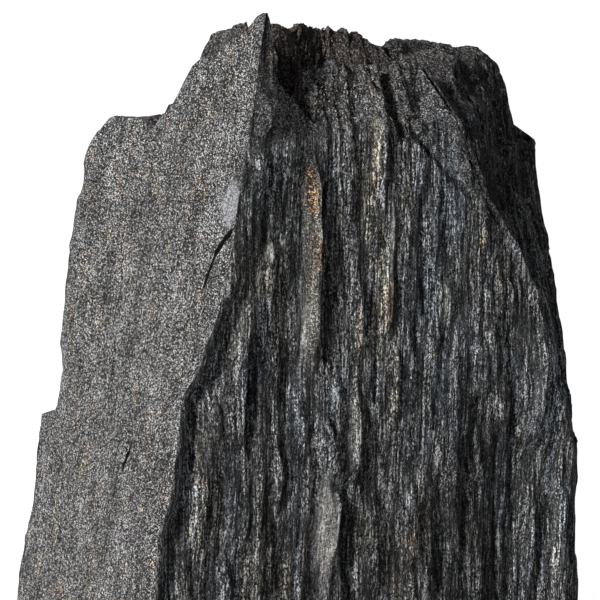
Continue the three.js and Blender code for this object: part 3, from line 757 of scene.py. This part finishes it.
# Tints, by which a colour is multiplied. The shade, light and hollow tints are painted shade and painted
# light, and the blue one partly tints a painted sheen
TAN_TINT = (1.5, 1.24, 1.02, 1)
FLECK_TINT = (1.3, 1.13, 0.88, 1)
STAIN_AND_PAINTED_LIGHT_TINTS = {
    "rust": (1.9, 1.12, 0.55, 1),
    "ochre": (1.8, 1.6, 1.2, 1),
    "blue": (0.93, 1.0, 1.07, 1),
    "shade": (0.15, 0.15, 0.15, 1),
    "light": (1.9, 1.9, 1.9, 1),
}
RAGGED_STAINS = ("rust", "ochre")
CRUMB_TINT = (0.58, 0.56, 0.55, 1)
BROWN_TINT = (0.46, 0.38, 0.35, 1)
HOLLOW_PAINTED_LIGHT = (1.8, 1.8, 1.8, 1)


def grains(w, group, place):
    """Mineral grains: each cell has a brightness and a hue of its own, with streaks and splits over them."""
    lain = w.vector("DIVIDE", place, GRAIN_SIZE)
    grain = w.cells(lain)
    speck = w.span(w.noise(lain, 0.9, 1.0), 0.3, 0.7)
    streak = strands(w, group, place, 40.0, 1.5, 16.0)
    broad_tone = w.centred(w.patches(place, (14.0, 14.0, 26.0)))
    salt = w.weighted((grain[0], 0.78), (speck, 0.22), (w.centred(streak), 0.14), (broad_tone, 0.3))
    grey = w.tones(salt, GRAIN_TONES)
    blotch = w.span(w.patches(place, (7.0, 7.0, 15.0), 3.0), 0.55, 0.7)
    tan = w.math("MULTIPLY", blotch, w.span(grain[1], 0.1, 0.7))
    granular = w.colour(tan, grey, w.tinted(grey, TAN_TINT))
    split = w.span(strands(w, group, place, 60.0, 2.3, 22.0), 0.02, 0.17, 0.25, 1.0)
    granular = w.tinted(granular, w.node("ShaderNodeCombineColor", {0: split, 1: split, 2: split}).outputs[0])
    return granular, salt, grain, streak


def fibres(w, group, place, bend):
    """Fibres that follow the bend of the strands: long thin ones, short ones and grit."""
    ripple = w.math("MULTIPLY", w.centred(w.patches(place, (4.0, 4.0, 10.0))), 1.6)
    bent = w.aside(w.aside(place, bend), ripple)
    long = strands(w, group, bent, 1.0, 2.5, 20.0)
    short = strands(w, group, bent, 0.5, 1.0, 3.6)
    grit = w.cells(w.vector("DIVIDE", place, GRIT_SIZE))
    fibre = w.weighted((long, 0.6), (short, 0.4))
    glossy = w.span(w.patches(bent, (5.0, 10.0, 28.0)), 0.36, 0.58, 0.6, 1.0)
    tone = w.mix(glossy, 0.42, w.weighted((fibre, 0.58), (grit[0], 0.42)))
    hue = w.patches(bent, (9.0, 20.0, 60.0))
    fibrous = w.tinted(w.tones(tone, FIBRE_TONES), w.tones(hue, FIBRE_HUES))
    fleck = w.span(w.patches(bent, (1.1, 2.0, 5.0)), 0.56, 0.66)
    fleck = w.math("MULTIPLY", fleck, w.span(w.patches(bent, (8.0, 20.0, 45.0)), 0.5, 0.62))
    fibrous = w.colour(fleck, fibrous, w.tinted(fibrous, FLECK_TINT))
    return fibrous, tone, fibre, grit


def cracks(w, place):
    """How far a place lies in one of the thin cracks of the flat face."""
    wobble = w.node("ShaderNodeTexNoise", {"Vector": place, "Scale": 0.4}).outputs["Color"]
    wobble = w.vector("MULTIPLY", w.vector("SUBTRACT", wobble, (0.5, 0.5, 0.5)), CRACK_WOBBLE)
    place = w.vector("MULTIPLY", w.vector("ADD", place, wobble), (0.0, 1.0, 1.0))
    inside = 0.0
    for (y0, z0), (y1, z1), width in FLAT_CRACKS:
        line = Vector((0, y1 - y0, z1 - z0))
        start = (0.0, y0 + float(TIP[1]), float(z0))
        beside = w.vector("SUBTRACT", place, start)
        share = w.measure("DOT_PRODUCT", beside, line / line.length_squared)
        share = w.math("ADD", share, 0.0, clamp=True)
        distance = w.measure("DISTANCE", beside, w.scaled(line, share))
        inside = w.math("MAXIMUM", inside, w.span(distance, width, 0.6 * width))
    return inside


def schist():
    """Grainy and glittering on the flat face, fibrous elsewhere, brown in the broken top, with painted shade,
    light and sheen.
    """
    material = bpy.data.materials.new("weathered schist")
    material.use_nodes = True
    tree = material.node_tree
    shader = tree.nodes["Principled BSDF"]
    w = Wiring(tree)
    group = strands_group("ShaderNodeTree")
    place = w.vector("MULTIPLY", w.node("ShaderNodeTexCoord").outputs["Object"], TO_MM)

    def mark(name):
        return w.node("ShaderNodeAttribute", attribute_name=name).outputs["Fac"]

    flat, top = mark("flat_face"), mark("broken_top")
    granular, salt, grain, streak = grains(w, group, place)
    fibrous, tone, fibre, grit = fibres(w, group, place, mark("sway"))

    # Mineral stains, painted shade, painted light and a painted bluish sheen, then seams, then thin cracks
    # painted black as shade
    skin = w.colour(mark("grainy"), fibrous, granular)
    patchy = w.span(w.noise(place, 0.9, 3.0, 0.7), 0.35, 0.62)
    for name, tint in STAIN_AND_PAINTED_LIGHT_TINTS.items():
        reach = w.math("MULTIPLY", mark(name), patchy if name in RAGGED_STAINS else 1.0, clamp=True)
        skin = w.colour(reach, skin, w.tinted(skin, tint))
    chalky, silvery = w.tones(tone, CHALKY_TONES), w.tones(salt, SILVERY_TONES)
    for name, seam, cover in (("pale", chalky, 1.3), ("mica", silvery, 1.6)):
        reach = w.math("MULTIPLY", w.math("MULTIPLY", mark(name), patchy), cover, clamp=True)
        skin = w.colour(reach, skin, seam)
    # Painted shade: the thin cracks of the flat face are painted black
    painted_crack_shade = w.math("MULTIPLY", cracks(w, place), flat)
    skin = w.colour(painted_crack_shade, skin, (0.0, 0.0, 0.0, 1))

    # The crumbling top
    crumb = w.colour(0.2, granular, fibrous)
    crumb = w.tinted(crumb, w.colour(mark("brown"), CRUMB_TINT, BROWN_TINT))
    # Painted light: the crumbs in the shadowed hollow are made lighter
    crumb = w.colour(mark("hollow"), crumb, w.tinted(crumb, HOLLOW_PAINTED_LIGHT))
    tree.links.new(w.colour(top, skin, crumb), shader.inputs["Base Color"])

    # Gloss and fine relief
    roughness = w.math("MAXIMUM", w.span(grain[2], 0.6, 0.95, 0.75, 0.35), painted_crack_shade)
    tree.links.new(roughness, shader.inputs["Roughness"])
    shader.inputs["Specular IOR Level"].default_value = 0.2
    on_flat_face = w.weighted((w.noise(place, 1.1, 2.0, 0.6), 0.4), (streak, 0.15), (grain[1], 0.25))
    on_walls = w.mix(flat, w.weighted((fibre, 0.8), (grit[1], 0.12)), on_flat_face)
    on_top = w.math("ADD", w.noise(place, 0.5, 3.0, 0.65), w.math("MULTIPLY", fibre, 0.3))
    height = w.mix(top, on_walls, on_top)
    bump = w.node("ShaderNodeBump", {"Strength": 1.0, "Distance": BUMP_DEPTH, "Height": height})
    tree.links.new(bump.outputs[0], shader.inputs["Normal"])
    return material


def weather(piece, material, **values):
    """Roughens the skin by a node tree: strands cut into the walls and crumbs into the broken top."""
    tree = bpy.data.node_groups.new("weathered skin", "GeometryNodeTree")
    tree.interface.new_socket("Geometry", in_out="INPUT", socket_type="NodeSocketGeometry")
    for name in values:
        tree.interface.new_socket(name.replace("_", " "), in_out="INPUT", socket_type="NodeSocketFloat")
    tree.interface.new_socket("Geometry", in_out="OUTPUT", socket_type="NodeSocketGeometry")
    w = Wiring(tree)
    given = w.node("NodeGroupInput").outputs
    group = strands_group("GeometryNodeTree")
    here = w.node("GeometryNodeInputPosition").outputs[0]
    place = w.vector("MULTIPLY", here, TO_MM)

    def mark(name):
        return w.node("GeometryNodeInputNamedAttribute", {"Name": name}).outputs[0]

    def carved(pattern, surface, depth):
        """How far the skin goes in where the pattern stays below the old surface."""
        return w.math("MULTIPLY", w.math("SUBTRACT", pattern, surface), depth)

    bent = w.aside(place, mark("sway"))
    fibre = carved(strands(w, group, bent, 3.0, 7.0, 26.0), 1.0, given["strand depth"])
    small_lumps = w.math("MULTIPLY", w.noise(place, 0.3, 2.0, 0.6), 0.7)
    lump = w.math("ADD", w.noise(place, 0.1, 2.0, 0.5), small_lumps)
    crumb = carved(lump, 1.0, given["crumb depth"])
    swell = carved(w.noise(place, 0.12, 3.0, 0.6), 0.8, given["grain depth"])
    depth = w.mix(mark("flat_face"), fibre, swell)
    depth = w.mix(mark("broken_top"), depth, crumb)
    height = w.node("ShaderNodeSeparateXYZ", {0: here}).outputs[2]
    depth = w.math("MULTIPLY", depth, w.span(height, *FOOT_FADE))
    out = w.scaled(w.node("GeometryNodeInputNormal").outputs[0], depth)
    moved = w.node("GeometryNodeSetPosition", {"Geometry": given["Geometry"], "Offset": out})
    whole = w.node("GeometryNodeRealizeInstances", {0: moved.outputs[0]})
    named = w.node("GeometryNodeSetMaterial", {0: whole.outputs[0], "Material": material})
    w.node("NodeGroupOutput", {0: named.outputs[0]})

    modifier = piece.modifiers.new("weathered skin", "NODES")
    modifier.node_group = tree
    for item in tree.interface.items_tree:
        if item.in_out == "INPUT" and item.name != "Geometry":
            modifier[item.identifier] = values[item.name.replace(" ", "_")]
    seen = bpy.context.evaluated_depsgraph_get()
    finished = piece.evaluated_get(seen)
    mesh = bpy.data.meshes.new_from_object(finished, preserve_all_data_layers=True, depsgraph=seen)
    piece.modifiers.remove(modifier)
    piece.data = mesh


# Studio

FLOOR_REACH = 40.0  # m
FLOOR_GREY = (0.5, 0.5, 0.5, 1)
FLOOR_GLOW = 0.76
WORLD_LIGHT = 0.075
WORLD_COLOUR = (0.9, 0.96, 1.06, 1)
WORLD_BRIGHTNESS = 0.97  # as the camera sees it
CAMERA_AZIMUTH = -32.0  # degrees
CAMERA_ELEVATION = 12.0
CAMERA_DISTANCE = 1.3
CAMERA_AIM = Vector((-0.0437, -0.0945, 0.8829))
CAMERA_LENS = 185.7


def add_floor():
    """A pale floor, a little brighter to the eye than the light that it throws on the stone."""
    r = FLOOR_REACH
    mesh = bpy.data.meshes.new("studio floor")
    mesh.from_pydata([(-r, -r, 0), (r, -r, 0), (r, r, 0), (-r, r, 0)], [], [(0, 1, 2, 3)])
    floor = bpy.data.objects.new("studio_floor", mesh)
    bpy.context.scene.collection.objects.link(floor)
    material = bpy.data.materials.new("pale floor")
    material.use_nodes = True
    shader = material.node_tree.nodes["Principled BSDF"]
    shader.inputs["Base Color"].default_value = FLOOR_GREY
    shader.inputs["Roughness"].default_value = 0.9
    shader.inputs["Specular IOR Level"].default_value = 0.0
    shader.inputs["Emission Strength"].default_value = FLOOR_GLOW
    w = Wiring(material.node_tree)
    seen = w.node("ShaderNodeLightPath").outputs["Is Camera Ray"]
    w.tree.links.new(w.colour(seen, (0, 0, 0, 1), (1, 1, 1, 1)), shader.inputs["Emission Color"])
    mesh.materials.append(material)


def add_sun(name, direction, strength, angle):
    light = bpy.data.lights.new(name, "SUN")
    light.energy = strength
    light.angle = math.radians(angle)
    sun = bpy.data.objects.new(name, light)
    sun.rotation_euler = Vector(direction).to_track_quat("Z", "Y").to_euler()
    bpy.context.scene.collection.objects.link(sun)


def add_world():
    """White to the eye, and a faint cool light from all round."""
    world = bpy.data.worlds.new("studio")
    world.use_nodes = True
    w = Wiring(world.node_tree)
    seen = w.node("ShaderNodeLightPath").outputs["Is Camera Ray"]
    background = world.node_tree.nodes["Background"]
    w.tree.links.new(w.colour(seen, WORLD_COLOUR, (1, 1, 1, 1)), background.inputs["Color"])
    w.tree.links.new(w.mix(seen, WORLD_LIGHT, WORLD_BRIGHTNESS), background.inputs["Strength"])
    bpy.context.scene.world = world


def add_camera():
    data = bpy.data.cameras.new("camera")
    data.lens = CAMERA_LENS
    data.sensor_width = 36
    camera = bpy.data.objects.new("camera", data)
    camera.rotation_euler = Euler((math.radians(90 - CAMERA_ELEVATION), 0, math.radians(CAMERA_AZIMUTH)))
    back = camera.rotation_euler.to_matrix() @ Vector((0, 0, 1))
    camera.location = CAMERA_AIM + back * CAMERA_DISTANCE
    bpy.context.scene.collection.objects.link(camera)
    bpy.context.scene.camera = camera


stone = bpy.data.objects.new("schist_stone", stone_mesh())
bpy.context.scene.collection.objects.link(stone)
weather(stone, schist(), strand_depth=0.0008, crumb_depth=0.0045, grain_depth=0.0004)
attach(stone, "root")
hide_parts("schist_post")

add_floor()
add_sun("key", direction=(-0.85, -0.3, 0.43), strength=3.2, angle=14)
add_sun("back fill", direction=(0.35, 0.85, 0.4), strength=0.8, angle=60)
add_camera()
add_world()
bpy.context.scene.view_settings.view_transform = "Standard"
